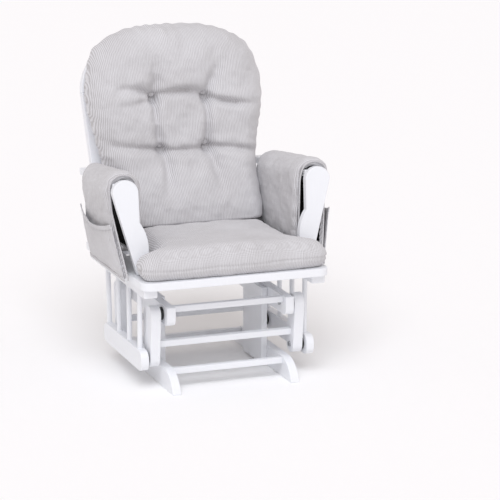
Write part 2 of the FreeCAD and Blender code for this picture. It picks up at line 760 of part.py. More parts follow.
def make_arm_pad(name, side):
    """A saddle over the armrest, its outer flap drawn forward at the foot, and a side pocket."""

    def saddle(drop, inset, fall):
        crown = f"pad_top - ({drop})"
        hollow = f"pad_hollow_top - ({drop})"
        low_outer = "pad_outer_low - pad_thickness + 4"
        corners = [
            (low_outer, "pad_outer_bottom"),
            ("pad_outer_low", "pad_outer_bottom"),
            (f"pad_outer - ({inset})", f"pad_shoulder - ({drop})"),
            (f"pad_outer - ({inset}) - 28", f"{crown} - 8"),
            ("armrest_front_plane", crown),
            ("pad_inner + 22", f"{crown} - 8"),
            ("pad_inner", f"pad_shoulder - ({drop})"),
            ("pad_inner - 4", f"pad_inner_bottom - ({fall})"),
            ("pad_inner - 4 + pad_thickness", f"pad_inner_bottom - ({fall})"),
            ("pad_inner + pad_thickness - 6", hollow),
            (f"pad_outer - ({inset}) - pad_thickness", hollow),
            (f"pad_outer - ({inset}) - pad_thickness", f"pad_shoulder - ({drop})"),
        ]
        return corners if side > 0 else mirrored(corners)

    body = new_body(f"{name}_arm_pad")
    front = new_sketch(body, "XZ_Plane", saddle("0", "0", "0"), "-pad_front")
    back_end = saddle("pad_rear_drop", "pad_rear_inset", "pad_inner_fall")
    rear = new_sketch(body, "XZ_Plane", back_end, "-(pad_front + pad_length)")
    loft = body.newObject("PartDesign::AdditiveLoft", f"{name}_saddle")
    loft.Profile = front
    loft.Sections = [rear]
    loft.Ruled = True

    hem_inner = "pad_outer_low - pad_thickness + 4"
    flap = [
        (hem_inner, "pad_outer_bottom"),
        ("pad_outer_low", "pad_outer_bottom"),
        ("pad_outer", "pad_shoulder"),
        ("pad_outer - pad_thickness", "pad_shoulder"),
    ]
    tip = [
        (hem_inner, "pad_outer_bottom"),
        ("pad_outer_low", "pad_outer_bottom"),
        ("pad_outer_low + 2", "pad_outer_bottom + pad_nose_tall"),
        (f"{hem_inner} + 2", "pad_outer_bottom + pad_nose_tall"),
    ]
    if side < 0:
        flap = mirrored(flap)
        tip = mirrored(tip)
    root = new_sketch(body, "XZ_Plane", flap, "-pad_front")
    foremost = new_sketch(body, "XZ_Plane", tip, "-(pad_front - pad_nose)")
    nose = body.newObject("PartDesign::AdditiveLoft", f"{name}_flap_nose")
    nose.Profile = root
    nose.Sections = [foremost]
    nose.Ruled = True

    corner = [
        ("armrest_front_plane", "pad_front + pad_length + 1"),
        ("pad_outer + 2", "pad_front + pad_length - pad_outer_short"),
        ("pad_outer + 2", "pad_front + pad_length + 1"),
    ]
    if side < 0:
        corner = mirrored(corner)
    slanted = new_sketch(body, "XY_Plane", corner)
    trim = body.newObject("PartDesign::Pocket", f"{name}_rear_trim")
    trim.Profile = slanted
    trim.SideType = "Symmetric"
    bind(trim, {"Length": "3 * pad_top"})

    long = "(pad_length - pad_outer_short - 4)"
    middle = f"pad_front + 2 + {long} / 2"
    gap = "running_gap"
    shell = [
        (f"{pad_face('pocket_bottom')} + {gap}", "pocket_bottom"),
        (f"{pad_face('pocket_bottom')} + {gap} + pocket_cloth", "pocket_bottom"),
        (f"{pad_face('pocket_mouth')} + pocket_gape", "pocket_mouth"),
        (f"{pad_face('pocket_mouth')} + {gap}", "pocket_mouth"),
    ]
    floor = "pocket_bottom + 8"
    over = "pocket_mouth + 4"
    hollow = [
        (f"{pad_face(floor)} + {gap} - 3", floor),
        (f"{pad_face(floor)} + {gap} + 1", floor),
        (f"{pad_face(over)} + pocket_gape - pocket_cloth", over),
        (f"{pad_face(over)} + {gap} - 3", over),
    ]
    if side < 0:
        shell = mirrored(shell)
        hollow = mirrored(hollow)
    body = board(f"{name}_pad_pocket", "XZ_Plane", shell, long, ("0", middle, "0"), eased=None)
    inside = new_sketch(body, "XZ_Plane", hollow)
    cut = body.newObject("PartDesign::Pocket", f"{name}_pocket_hollow")
    cut.Profile = inside
    cut.SideType = "Symmetric"
    bind(cut, {"Length": f"{long} - 2 * pocket_cloth"})


# ---------------------------------------------------------------- assembly


def check(items):
    """Stop if any object failed, or any sub-part is not a set of sound closed solids."""
    for item in doc.Objects:
        if "Invalid" in item.State or "Error" in item.State:
            raise RuntimeError(f"{item.Name} failed: {item.State}")
    for item in items:
        shape = item.Shape
        if shape.isNull() or not shape.isValid() or shape.Volume <= 0 or not shape.Solids:
            raise RuntimeError(f"{item.Label} is not a sound solid")


for name, side in SIDES:
    make_base_side(name, side)
make_base_rails()
for end_name, end in ENDS:
    make_links(end_name, end)
make_pivots()
for name, side in SIDES:
    make_side_panel(name, side)
make_seat_frame()
for name, side in SIDES:
    make_arm(name, side)
make_back_frame()
make_seat_cushion()
make_back_cushion()
for name, side in SIDES:
    make_arm_pad(name, side)

doc.recompute()
check(finished)
os.makedirs("parts", exist_ok=True)
for item in finished:
    item.Shape.exportStep(f"parts/{item.Label}.step")
box = FreeCAD.BoundBox()
for item in finished:
    box.add(item.Shape.BoundBox)
print(len(finished), "nodes;", "box", box)
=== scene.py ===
"""Looks of the glider nursery chair: cushions, arm pads, pockets, buttons, finishes and the stage."""

import json
import math

import bmesh
import bpy
import numpy as np
from bpy.props import FloatProperty, FloatVectorProperty, PointerProperty
from bpy.types import Operator, Panel, PropertyGroup
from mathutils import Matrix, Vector


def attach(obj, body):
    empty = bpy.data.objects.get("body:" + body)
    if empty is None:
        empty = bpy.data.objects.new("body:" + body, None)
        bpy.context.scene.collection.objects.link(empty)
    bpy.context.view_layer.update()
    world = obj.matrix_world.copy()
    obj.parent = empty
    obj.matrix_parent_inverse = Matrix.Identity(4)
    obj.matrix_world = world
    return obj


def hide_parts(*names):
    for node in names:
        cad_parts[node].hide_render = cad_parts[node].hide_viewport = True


bl_info = {
    "name": "Glider nursery chair",
    "version": (1, 0, 0),
    "blender": (4, 5, 0),
    "location": "3D View > Sidebar > Glider",
    "description": "Builds the soft pieces, finishes and stage of a glider nursery chair",
    "category": "Object",
}

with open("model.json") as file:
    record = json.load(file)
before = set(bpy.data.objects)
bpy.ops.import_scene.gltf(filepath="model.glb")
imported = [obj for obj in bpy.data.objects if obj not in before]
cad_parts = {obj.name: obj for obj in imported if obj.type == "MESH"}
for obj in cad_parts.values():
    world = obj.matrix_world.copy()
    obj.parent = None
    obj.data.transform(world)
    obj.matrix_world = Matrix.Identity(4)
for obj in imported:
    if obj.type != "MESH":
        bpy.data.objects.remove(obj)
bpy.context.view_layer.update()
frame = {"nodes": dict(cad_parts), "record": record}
MM = 0.001


# ---------------------------------------------------------------- colours and sizes


def hex_colour(text):
    """An sRGB hex value as a linear colour with alpha."""
    parts = np.array([int(text[i : i + 2], 16) for i in (1, 3, 5)]) / 255.0
    linear = np.where(parts <= 0.04045, parts / 12.92, ((parts + 0.055) / 1.055) ** 2.4)
    return (*[float(value) for value in linear], 1.0)


def colour_property(name, description, default):
    """A colour setting whose default is an sRGB hex value."""
    return FloatVectorProperty(
        name=name,
        description=description,
        default=hex_colour(default),
        size=4,
        min=0.0,
        max=1.0,
        subtype="COLOR",
    )


def length_property(name, description, default):
    """A length setting in metres."""
    return FloatProperty(
        name=name, description=description, default=default, min=0.0, unit="LENGTH", precision=4
    )


class GliderCloth(PropertyGroup):
    """Colours and sizes of the cloth."""

    linen: colour_property("Linen", "Crests of the ribbed linen", "#DDDDE0")
    # Painted shade in the furrows between the ribs; the same colour is also the darker end of the
    # random tone of slubs and patches
    linen_furrow_shade_and_tone: colour_property("Linen furrow", "Furrows between the ribs", "#AEABAC")
    lining: colour_property("Lining", "Black non-woven lining inside the arm pads", "#17161A")
    rib: length_property("Rib spacing", "From one rib of the linen to the next", 0.0046)
    stitch: length_property("Stitch", "Length of one stitch along a hem", 0.006)
    voxel: length_property("Cloth grid", "Grid on which the covers are blown up", 0.006)


class GliderWood(PropertyGroup):
    """Colours of the frame and its metalwork."""

    paint: colour_property("Paint", "White paint on the wood", "#F3F5F9")
    plastic: colour_property("Bearing plastic", "Black plastic of the bearing rings", "#161618")
    zinc: colour_property("Zinc", "Zinc plate on the bolts", "#B4B6B9")
    floor: colour_property("Floor", "Pale floor and backdrop", "#FFFFFF")


# ---------------------------------------------------------------- small helpers


def add_node(tree, kind, settings=None, inputs=None, links=None):
    """One shader node with its settings, input values and incoming links."""
    node = tree.nodes.new(kind)
    for name, value in (settings or {}).items():
        setattr(node, name, value)
    for name, value in (inputs or {}).items():
        node.inputs[name].default_value = value
    for name, socket in (links or {}).items():
        tree.links.new(socket, node.inputs[name])
    return node


def new_material(name, **values):
    """A material with one Principled shader whose constant values sit on its own sockets."""
    material = bpy.data.materials.new(name)
    material.use_nodes = True
    tree = material.node_tree
    shader = tree.nodes["Principled BSDF"]
    for key, value in values.items():
        shader.inputs[key.replace("_", " ")].default_value = value
    return material, tree, shader


def mesh_piece(name, points, faces):
    """A new object from an array of points and a list of faces."""
    mesh = bpy.data.meshes.new(name)
    mesh.from_pydata(points, [], faces)
    mesh.update()
    piece = bpy.data.objects.new(name, mesh)
    bpy.context.scene.collection.objects.link(piece)
    mesh.polygons.foreach_set("use_smooth", np.ones(len(mesh.polygons), bool))
    return piece


def grid_faces(rows, columns, around):
    """Quads of a rows by columns grid of points; around closes it across the columns."""
    r = np.arange(rows - 1)[:, None]
    c = np.arange(columns if around else columns - 1)[None, :]
    after = (c + 1) % columns
    low, high = r * columns, (r + 1) * columns
    return np.stack([low + c, low + after, high + after, high + c], -1).reshape(-1, 4)


def capped_piece(name, rings):
    """A closed skin from rings of points, whose first and last rings are one point each."""
    rows, columns = rings.shape[:2]
    points = np.concatenate([rings[0, :1], rings[1:-1].reshape(-1, 3), rings[-1, :1]])
    body = grid_faces(rows - 2, columns, True) + 1
    near = np.arange(columns)
    after = (near + 1) % columns
    far = 1 + (rows - 3) * columns
    first = np.stack([np.zeros(columns, int), 1 + after, 1 + near], -1)
    last = np.stack([np.full(columns, len(points) - 1), far + near, far + after], -1)
    return mesh_piece(name, points, body.tolist() + first.tolist() + last.tolist())


def tube_piece(name, path, radius, sides=10):
    """A round cord of cloth along a path: a circle carried square to it, its ends capped."""
    ahead = np.gradient(path, axis=0)
    ahead /= np.linalg.norm(ahead, axis=1)[:, None]
    side = np.cross(ahead, np.array([0.13, 0.91, 0.37]))
    side /= np.linalg.norm(side, axis=1)[:, None]
    up = np.cross(side, ahead)
    turn = np.linspace(0, 2 * np.pi, sides, endpoint=False)
    ring = np.cos(turn)[None, :, None] * side[:, None, :] + np.sin(turn)[None, :, None] * up[:, None, :]
    skin = path[:, None, :] + radius * ring
    ends = [np.repeat(path[i][None, None, :], sides, 1) for i in (0, -1)]
    return capped_piece(name, np.concatenate([ends[0], skin, ends[1]]))


def face_outwards(piece):
    """Merge doubles and turn every face of a closed skin outwards."""
    work = bmesh.new()
    work.from_mesh(piece.data)
    bmesh.ops.remove_doubles(work, verts=work.verts, dist=1e-6)
    bmesh.ops.recalc_face_normals(work, faces=work.faces)
    work.to_mesh(piece.data)
    work.free()
    return piece


def smooth_line(points, count, rounds=2):
    """An evenly spaced line of count points through the given ones, its corners cut rounds times."""
    line = np.array(points, float)
    for _ in range(rounds):
        near, far = line[:-1], line[1:]
        cut = np.stack([near * 0.75 + far * 0.25, near * 0.25 + far * 0.75], 1)
        cut = cut.reshape(-1, line.shape[1])
        line = np.concatenate([line[:1], cut, line[-1:]])
    run = np.concatenate([[0], np.cumsum(np.linalg.norm(np.diff(line, axis=0), axis=1))])
    at = np.linspace(0, run[-1], count)
    return np.stack([np.interp(at, run, line[:, i]) for i in range(line.shape[1])], -1)


def distance_to_line(points, line):
    """Shortest distance from each 2D point to a line of straight runs, worked out in batches."""
    start, run = line[:-1], np.diff(line, axis=0)
    length = (run**2).sum(1)
    found = []
    for part in np.array_split(points, max(1, len(points) // 4000)):
        gap = part[:, None, :] - start[None]
        along = np.clip((gap * run).sum(2) / length, 0, 1)
        found.append(np.sqrt(((gap - along[..., None] * run) ** 2).sum(2)).min(1))
    return np.concatenate(found)


def ripple(points, size, seed, waves=14):
    """Smooth seeded unevenness of about one, a sum of sine waves in mixed directions."""
    source = np.random.default_rng(seed)
    way = source.normal(size=(waves, points.shape[1]))
    way /= np.linalg.norm(way, axis=1)[:, None]
    reach = 2 * np.pi / (size * source.uniform(0.7, 1.8, waves))
    shift = source.uniform(0, 2 * np.pi, waves)
    return np.sin(points @ (way * reach[:, None]).T + shift).sum(1) / math.sqrt(waves)


def read_points(piece):
    """Vertex places of a piece as an array."""
    points = np.empty(len(piece.data.vertices) * 3, np.float32)
    piece.data.vertices.foreach_get("co", points)
    return points.reshape(-1, 3).astype(float)


def write_points(piece, points):
    """Put an array of places into a piece's vertices."""
    piece.data.vertices.foreach_set("co", points.astype(np.float32).ravel())
    piece.data.update()


def read_normals(piece):
    """Vertex normals of a piece as an array."""
    normals = np.empty(len(piece.data.vertices) * 3, np.float32)
    piece.data.vertices.foreach_get("normal", normals)
    return normals.reshape(-1, 3).astype(float)


def apply_modifiers(piece):
    """Make what a piece's modifiers show its own mesh."""
    graph = bpy.context.evaluated_depsgraph_get()
    graph.update()
    made = bpy.data.meshes.new_from_object(piece.evaluated_get(graph))
    old = piece.data
    piece.modifiers.clear()
    piece.data = made
    bpy.data.meshes.remove(old)
    made.polygons.foreach_set("use_smooth", np.ones(len(made.polygons), bool))


def fill_cover(piece, cap, free=None):
    """Blow a cover up as its filling does.

    The skin is laid on an even grid, swells under pressure with gravity off, no point moves
    further than cap, and one subdivision smooths it.  free(places) is the share of its move
    that each point makes.
    """
    remesh = piece.modifiers.new("even_grid", "REMESH")
    remesh.mode = "VOXEL"
    remesh.voxel_size = bpy.context.scene.glider_cloth.voxel
    apply_modifiers(piece)
    rest = read_points(piece)
    cloth = piece.modifiers.new("filling", "CLOTH")
    cloth.settings.use_pressure = True
    cloth.settings.uniform_pressure_force = 4.0
    cloth.settings.effector_weights.gravity = 0.0
    cloth.point_cache.frame_start = 1
    cloth.point_cache.frame_end = 20
    for step in range(1, 21):
        bpy.context.scene.frame_set(step)
    graph = bpy.context.evaluated_depsgraph_get()
    swollen = np.empty(len(rest) * 3, np.float32)
    piece.evaluated_get(graph).data.vertices.foreach_get("co", swollen)
    move = swollen.reshape(-1, 3) - rest
    far = np.linalg.norm(move, axis=1)
    move *= (cap * np.tanh(far / cap) / np.maximum(far, 1e-9))[:, None]
    if free:
        move *= free(rest)[:, None]
    piece.modifiers.clear()
    write_points(piece, rest + move)
    bpy.context.scene.frame_set(1)
    smooth = piece.modifiers.new("smooth", "SUBSURF")
    smooth.levels = smooth.render_levels = 1
    apply_modifiers(piece)


def weave_map(piece, across, along):
    """Store where each point lies on the cloth, in metres across and along its ribs."""
    flat = np.stack([across, along, np.zeros_like(across)], -1)
    store = piece.data.attributes.new("weave", "FLOAT_VECTOR", "POINT")
    store.data.foreach_set("vector", flat.astype(np.float32).ravel())


def finish_piece(piece, body, slot, *materials):
    """Give a piece its materials and body; the slot argument is not used."""
    piece.data.materials.clear()
    for material in materials:
        piece.data.materials.append(material)
    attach(piece, body)
    return piece


# ---------------------------------------------------------------- materials


def ribbed_linen(name, depth=1.0):
    """Ribbed polyester linen: woven, dull, with fine uneven ribs that catch the light, and painted
    shade in the furrows between them.

    Ribs of 1.5 mm are too fine to show from across a room, so they are drawn 4.6 mm apart.
    """
    cloth = bpy.context.scene.glider_cloth
    material, tree, shader = new_material(
        name, Roughness=0.92, Sheen_Weight=0.22, Sheen_Roughness=0.55, Specular_IOR_Level=0.22
    )
    where = add_node(tree, "ShaderNodeAttribute", {"attribute_name": "weave"})
    flat = where.outputs["Vector"]
    # The ribs wander by up to 11 mm over patches of about 140 mm
    wander = add_node(
        tree, "ShaderNodeTexNoise", None, {"Scale": 7.0, "Detail": 3.0}, {"Vector": flat}
    )
    centred = add_node(
        tree,
        "ShaderNodeVectorMath",
        {"operation": "SUBTRACT"},
        {1: (0.5, 0.5, 0.5)},
        {0: wander.outputs["Color"]},
    )
    small = add_node(
        tree,
        "ShaderNodeVectorMath",
        {"operation": "SCALE"},
        {"Scale": 0.022},
        {0: centred.outputs["Vector"]},
    )
    bent = add_node(
        tree,
        "ShaderNodeVectorMath",
        {"operation": "ADD"},
        None,
        {0: flat, 1: small.outputs["Vector"]},
    )
    # A wave texture of scale s repeats every 2 pi / (20 s) along its axis
    ribs = add_node(
        tree,
        "ShaderNodeTexWave",
        {"wave_type": "BANDS", "bands_direction": "X", "wave_profile": "SIN"},
        {
            "Scale": 2 * math.pi / (20 * cloth.rib),
            "Distortion": 1.6,
            "Detail": 2.0,
            "Detail Scale": 1.5,
        },
        {"Vector": bent.outputs["Vector"]},
    )
    picks = add_node(
        tree,
        "ShaderNodeTexWave",
        {"wave_type": "BANDS", "bands_direction": "Y", "wave_profile": "SIN"},
        {"Scale": 2 * math.pi / (20 * cloth.rib * 0.6), "Distortion": 1.2, "Detail": 1.0},
        {"Vector": bent.outputs["Vector"]},
    )
    # Slubs: thick places in the yarn, about 1 mm wide and 17 mm long
    stretched = add_node(
        tree, "ShaderNodeMapping", None, {"Scale": (900.0, 60.0, 1.0)}, {"Vector": flat}
    )
    slubs = add_node(
        tree,
        "ShaderNodeTexNoise",
        None,
        {"Scale": 1.0, "Detail": 3.0},
        {"Vector": stretched.outputs["Vector"]},
    )
    patches = add_node(
        tree, "ShaderNodeTexNoise", None, {"Scale": 7.0, "Detail": 3.0}, {"Vector": flat}
    )
    threads = add_node(
        tree,
        "ShaderNodeMix",
        {"data_type": "FLOAT"},
        {"Factor": 0.22},
        {"A": ribs.outputs["Fac"], "B": picks.outputs["Fac"]},
    )
    rough = add_node(
        tree,
        "ShaderNodeMix",
        {"data_type": "FLOAT"},
        {"Factor": 0.35},
        {"A": threads.outputs["Result"], "B": slubs.outputs["Fac"]},
    )
    uneven = add_node(
        tree,
        "ShaderNodeMix",
        {"data_type": "FLOAT"},
        {"Factor": 0.3},
        {"A": rough.outputs["Result"], "B": patches.outputs["Fac"]},
    )
    tone = add_node(
        tree,
        "ShaderNodeMapRange",
        None,
        {"From Min": 0.2, "From Max": 0.72},
        {"Value": uneven.outputs["Result"]},
    )
    # Painted shade: the colour runs from the furrow shade to the crest colour with the rib and pick
    # waves, and slubs and patches add random tone
    colour = add_node(
        tree,
        "ShaderNodeMix",
        {"data_type": "RGBA"},
        {"A": cloth.linen_furrow_shade_and_tone, "B": cloth.linen},
        {"Factor": tone.outputs["Result"]},
    )
    raised = add_node(
        tree,
        "ShaderNodeBump",
        None,
        {"Strength": 0.55 * depth, "Distance": 0.0012},
        {"Height": rough.outputs["Result"]},
    )
    tree.links.new(colour.outputs["Result"], shader.inputs["Base Color"])
    tree.links.new(raised.outputs["Normal"], shader.inputs["Normal"])
    return material


def bonded_lining():
    """Black spun-bonded polypropylene: matt, with a grid of small pressed dots 2 mm apart."""
    cloth = bpy.context.scene.glider_cloth
    material, tree, shader = new_material(
        "black_bonded_lining", Base_Color=cloth.lining, Roughness=0.95, Specular_IOR_Level=0.2
    )
    where = add_node(tree, "ShaderNodeTexCoord")
    dots = add_node(
        tree,
        "ShaderNodeTexVoronoi",
        None,
        {"Scale": 500.0, "Randomness": 0.1},
        {"Vector": where.outputs["Object"]},
    )
    pressed = add_node(
        tree,
        "ShaderNodeBump",
        None,
        {"Strength": 0.4, "Distance": 0.0004},
        {"Height": dots.outputs["Distance"]},
    )
    tree.links.new(pressed.outputs["Normal"], shader.inputs["Normal"])
    return material


def painted_wood():
    """Sprayed white satin paint on solid wood: even, a little orange peel, grain just felt."""
    wood = bpy.context.scene.glider_wood
    material, tree, shader = new_material(
        "white_satin_paint",
        Roughness=0.38,
        Specular_IOR_Level=0.45,
        Coat_Weight=0.12,
        Coat_Roughness=0.3,
    )
    place = add_node(tree, "ShaderNodeTexCoord").outputs["Object"]
    # Orange peel 2 to 3 mm across, and grain 4 mm wide and 45 mm long
    peel = add_node(
        tree, "ShaderNodeTexNoise", None, {"Scale": 420.0, "Detail": 2.0}, {"Vector": place}
    )
    long_way = add_node(
        tree, "ShaderNodeMapping", None, {"Scale": (260.0, 90.0, 22.0)}, {"Vector": place}
    )
    grain = add_node(
        tree,
        "ShaderNodeTexNoise",
        None,
        {"Scale": 1.0, "Detail": 5.0},
        {"Vector": long_way.outputs["Vector"]},
    )
    clouds = add_node(
        tree, "ShaderNodeTexNoise", None, {"Scale": 5.0, "Detail": 2.0}, {"Vector": place}
    )
    relief = add_node(
        tree,
        "ShaderNodeMix",
        {"data_type": "FLOAT"},
        {"Factor": 0.45},
        {"A": peel.outputs["Fac"], "B": grain.outputs["Fac"]},
    )
    skin = add_node(
        tree,
        "ShaderNodeBump",
        None,
        {"Strength": 0.12, "Distance": 0.0004},
        {"Height": relief.outputs["Result"]},
    )
    tone = add_node(
        tree,
        "ShaderNodeMix",
        {"data_type": "FLOAT"},
        {"Factor": 0.5},
        {"A": grain.outputs["Fac"], "B": clouds.outputs["Fac"]},
    )
    faded = [value * 0.94 for value in wood.paint[:3]] + [1.0]
    colour = add_node(
        tree,
        "ShaderNodeMix",
        {"data_type": "RGBA"},
        {"A": faded, "B": wood.paint},
        {"Factor": tone.outputs["Result"]},
    )
    gloss = add_node(
        tree,
        "ShaderNodeMapRange",
        None,
        {"From Min": 0.3, "From Max": 0.7, "To Min": 0.32, "To Max": 0.46},
        {"Value": clouds.outputs["Fac"]},
    )
    tree.links.new(colour.outputs["Result"], shader.inputs["Base Color"])
    tree.links.new(gloss.outputs["Result"], shader.inputs["Roughness"])
    tree.links.new(skin.outputs["Normal"], shader.inputs["Normal"])
    return material


def moulded_nylon():
    """Black moulded nylon of the bearing rings: satin, with the fine grain of the mould."""
    wood = bpy.context.scene.glider_wood
    material, tree, shader = new_material(
        "black_moulded_nylon", Base_Color=wood.plastic, Roughness=0.42
    )
    place = add_node(tree, "ShaderNodeTexCoord").outputs["Object"]
    grit = add_node(
        tree, "ShaderNodeTexNoise", None, {"Scale": 900.0, "Detail": 2.0}, {"Vector": place}
    )
    skin = add_node(
        tree,
        "ShaderNodeBump",
        None,
        {"Strength": 0.25, "Distance": 0.0003},
        {"Height": grit.outputs["Fac"]},
    )
    tree.links.new(skin.outputs["Normal"], shader.inputs["Normal"])
    return material


def zinc_plate():
    """Bright zinc plate on turned steel bolts: metallic, faintly brushed round."""
    wood = bpy.context.scene.glider_wood
    material, tree, shader = new_material(
        "zinc_plated_steel", Base_Color=wood.zinc, Metallic=1.0, Roughness=0.3
    )
    place = add_node(tree, "ShaderNodeTexCoord").outputs["Object"]
    scratches = add_node(
        tree, "ShaderNodeTexNoise", None, {"Scale": 700.0, "Detail": 3.0}, {"Vector": place}
    )
    gloss = add_node(
        tree,
        "ShaderNodeMapRange",
        None,
        {"To Min": 0.22, "To Max": 0.42},
        {"Value": scratches.outputs["Fac"]},
    )
    skin = add_node(
        tree,
        "ShaderNodeBump",
        None,
        {"Strength": 0.1, "Distance": 0.0002},
        {"Height": scratches.outputs["Fac"]},
    )
    tree.links.new(gloss.outputs["Result"], shader.inputs["Roughness"])
    tree.links.new(skin.outputs["Normal"], shader.inputs["Normal"])
    return material


# ---------------------------------------------------------------- cushions


def swell(distance, width):
    """Quarter round of a stuffed edge: nothing at the seam, full one width in."""
    return np.sqrt(1 - (1 - np.clip(distance / width, 0, 1)) ** 2)


def pillow(name, outline, centre, place, rings=26):
    """A closed cushion skin between two faces that meet at a seam.

    Rings run from the centre of the front face out to the outline and back in over the rear
    face.  place(points, distance, face) turns flat places and seam distances into 3D ones.
    """
    share = np.sin(np.linspace(0, np.pi / 2, rings))
    flat = centre + share[:, None, None] * (outline - centre)
    closed = np.concatenate([outline, outline[:1]])
    distance = distance_to_line(flat.reshape(-1, 2), closed)
    distance[-len(outline) :] = 0
    front = place(flat.reshape(-1, 2), distance, 1).reshape(rings, len(outline), 3)
    rear = place(flat.reshape(-1, 2), distance, -1).reshape(rings, len(outline), 3)
    return face_outwards(capped_piece(name, np.concatenate([front, rear[-2::-1]])))


RAKE = math.tan(math.radians(12.5))
# Middle of the back cushion's outline: across and up
BACK_MIDDLE = np.array([0, 0.70])
# Height of the seat cushion's side seam
SEAT_SEAM = 0.371


def rake_plane(height):
    """Where the front of the leaning back frame is, at a height: a straight line leaning back."""
    return 0.1855 + (height - 0.340) * RAKE


BACK_OUTLINE = [
    (0, 372), (150, 372), (206, 374), (225, 388), (232, 430), (236, 500), (242, 570), (254, 627),
    (268, 692), (278, 745), (281, 790), (276, 833), (258, 898), (234, 932), (192, 955), (158, 971),
    (94, 986), (0, 989),
]
BUTTONS = [(-83, 774), (83, 772), (-71, 625), (73, 624)]
# Creases between the buttons: line, depth and half width in millimetres
CREASES = [
    ([(-83, 774), (-97, 795), (-128, 806), (-170, 812), (-222, 808)], 15, 11),
    ([(-83, 774), (-70, 788), (-28, 797), (22, 799), (66, 788), (83, 772)], 14, 10),
    ([(83, 772), (92, 812), (122, 862), (138, 905)], 15, 17),
    ([(-83, 774), (-76, 838), (-74, 915)], 14, 17),
    ([(83, 772), (110, 768), (162, 757), (262, 744)], 13, 9),
    ([(-83, 774), (-84, 706), (-71, 625)], 13, 10),
    ([(83, 772), (80, 700), (73, 624)], 13, 10),
    ([(-71, 625), (0, 624), (73, 624)], 12, 10),
    ([(73, 624), (90, 630), (160, 624), (258, 598)], 14, 9),
    ([(-71, 625), (-62, 600), (-66, 540), (-92, 470)], 14, 16),
    ([(73, 624), (82, 600), (94, 560), (98, 480)], 13, 16),
    ([(-71, 625), (-110, 634), (-170, 640), (-262, 650)], 11, 10),
    ([(-83, 774), (-140, 768), (-210, 752)], 5, 12),
]


def back_cushion_place(points, distance, face):
    """Front: fullest low down, thinner to the top.  Rear: flat against the slats.

    The thickness is read off down the height and swells in from the seam.
    """
    height = points[:, 1]
    full = np.interp(
        height,
        [0.372, 0.417, 0.46, 0.5, 0.57, 0.64, 0.8, 0.9, 0.96, 0.99],
        [0.178, 0.187, 0.187, 0.176, 0.149, 0.130, 0.126, 0.120, 0.105, 0.090],
    )
    seam = 0.30 * full
    if face > 0:
        width = np.interp(height, [0.45, 0.66], [0.056, 0.08])
        ahead = seam + (full - seam) * swell(distance, width)
    else:
        ahead = seam - (seam - 0.004) * swell(distance, 0.06)
    return np.stack([points[:, 0], rake_plane(height) - ahead, height], -1)


def back_cushion_free(rest):
    """Share of its swelling that each point makes: little at the foot and where a button holds."""
    places = rest[:, None, [0, 2]] - np.array(BUTTONS) * MM
    away = np.linalg.norm(places, axis=2).min(1)
    above_foot = np.clip((rest[:, 2] - 0.43) / 0.13, 0.1, 1)
    return np.minimum(above_foot, np.clip((away - 0.01) / 0.07, 0.2, 1))


def crease_profile(away, width):
    """Section of a crease: a bell-shaped groove of the given half width with a low bank beside it."""
    bank = 0.22 * np.exp(-(((away - 2.4 * width) / (1.4 * width)) ** 2))
    return np.exp(-((away / width) ** 2)) - bank


def tuft_back_cushion(piece):
    """Pull the front face in at the buttons, press the creases between them, pucker the rim.

    A button makes a small bell-shaped pit in a wide one that dies away with distance.  A crease
    wanders in depth, widens away from its button and fades out at an open end.  The rim is moved
    out and in by a sine of its angle round the middle, and its seam is a narrow groove.
    """
    points = read_points(piece)
    flat = points[:, [0, 2]]
    ahead = rake_plane(points[:, 2]) - points[:, 1]
    front = np.clip((ahead - 0.045) / 0.04, 0, 1)
    pull = np.zeros(len(points))
    for place in BUTTONS:
        away = np.linalg.norm(flat - np.array(place) * MM, axis=1)
        pull += 0.006 * np.exp(-((away / 0.014) ** 2)) + 0.032 * np.exp(-away / 0.043)
    for seed, (line, depth, width) in enumerate(CREASES):
        path = smooth_line(np.array(line) * MM, 40)
        away = distance_to_line(flat, path)
        start = np.linalg.norm(flat - path[0], axis=1)
        end = np.linalg.norm(flat - path[-1], axis=1)
        to_buttons = np.linalg.norm(path[-1] / MM - np.array(BUTTONS), axis=1)
        open_end = to_buttons.min() >= 5
        fade = np.clip(end / 0.09, 0, 1) if open_end else np.ones(len(points))
        depth = 1.45 * depth * MM * fade * (0.85 + 0.15 * ripple(flat, 0.08, seed))
        width = width * MM * (0.8 + 0.5 * np.clip(start / 0.15, 0, 1))
        pull += depth * crease_profile(away, width)
    pull += 0.0016 * ripple(flat, 0.07, 31) + 0.0007 * ripple(flat, 0.025, 32)
    points[:, 1] += np.minimum(pull, 0.054) * front
    rim = np.exp(-distance_to_line(flat, back_line()) / 0.02)
    spread = np.arctan2(flat[:, 1] - BACK_MIDDLE[1], flat[:, 0])
    pucker = 0.0016 * np.sin(spread * 46 + 2.2 * np.sin(spread * 7)) * rim
    out = flat - BACK_MIDDLE
    out /= np.maximum(np.linalg.norm(out, axis=1), 1e-6)[:, None]
    points[:, [0, 2]] += out * pucker[:, None]
    heights = [0.417, 0.5, 0.64, 0.8, 0.99]
    seam_at = np.interp(points[:, 2], heights, [0.044, 0.047, 0.038, 0.038, 0.027])
    groove = 0.0035 * np.exp(-(((ahead - seam_at) / 0.0035) ** 2)) * rim
    points[:, [0, 2]] -= out * groove[:, None]
    write_points(piece, points)


def back_line():
    """The back cushion's outline, both sides, as one closed line."""
    half = smooth_line(np.array(BACK_OUTLINE) * MM, 150)
    other = half[::-1] * np.array([-1, 1])
    return np.concatenate([half, other[1:-1], half[:1]])


SEAT_OUTLINE = [
    (0, -350), (180, -349), (258, -346), (284, -330), (289, -305), (289, -262), (280, -246),
    (244, -242), (229, -230), (227, -190), (227, 150), (220, 172), (190, 178), (0, 178),
]


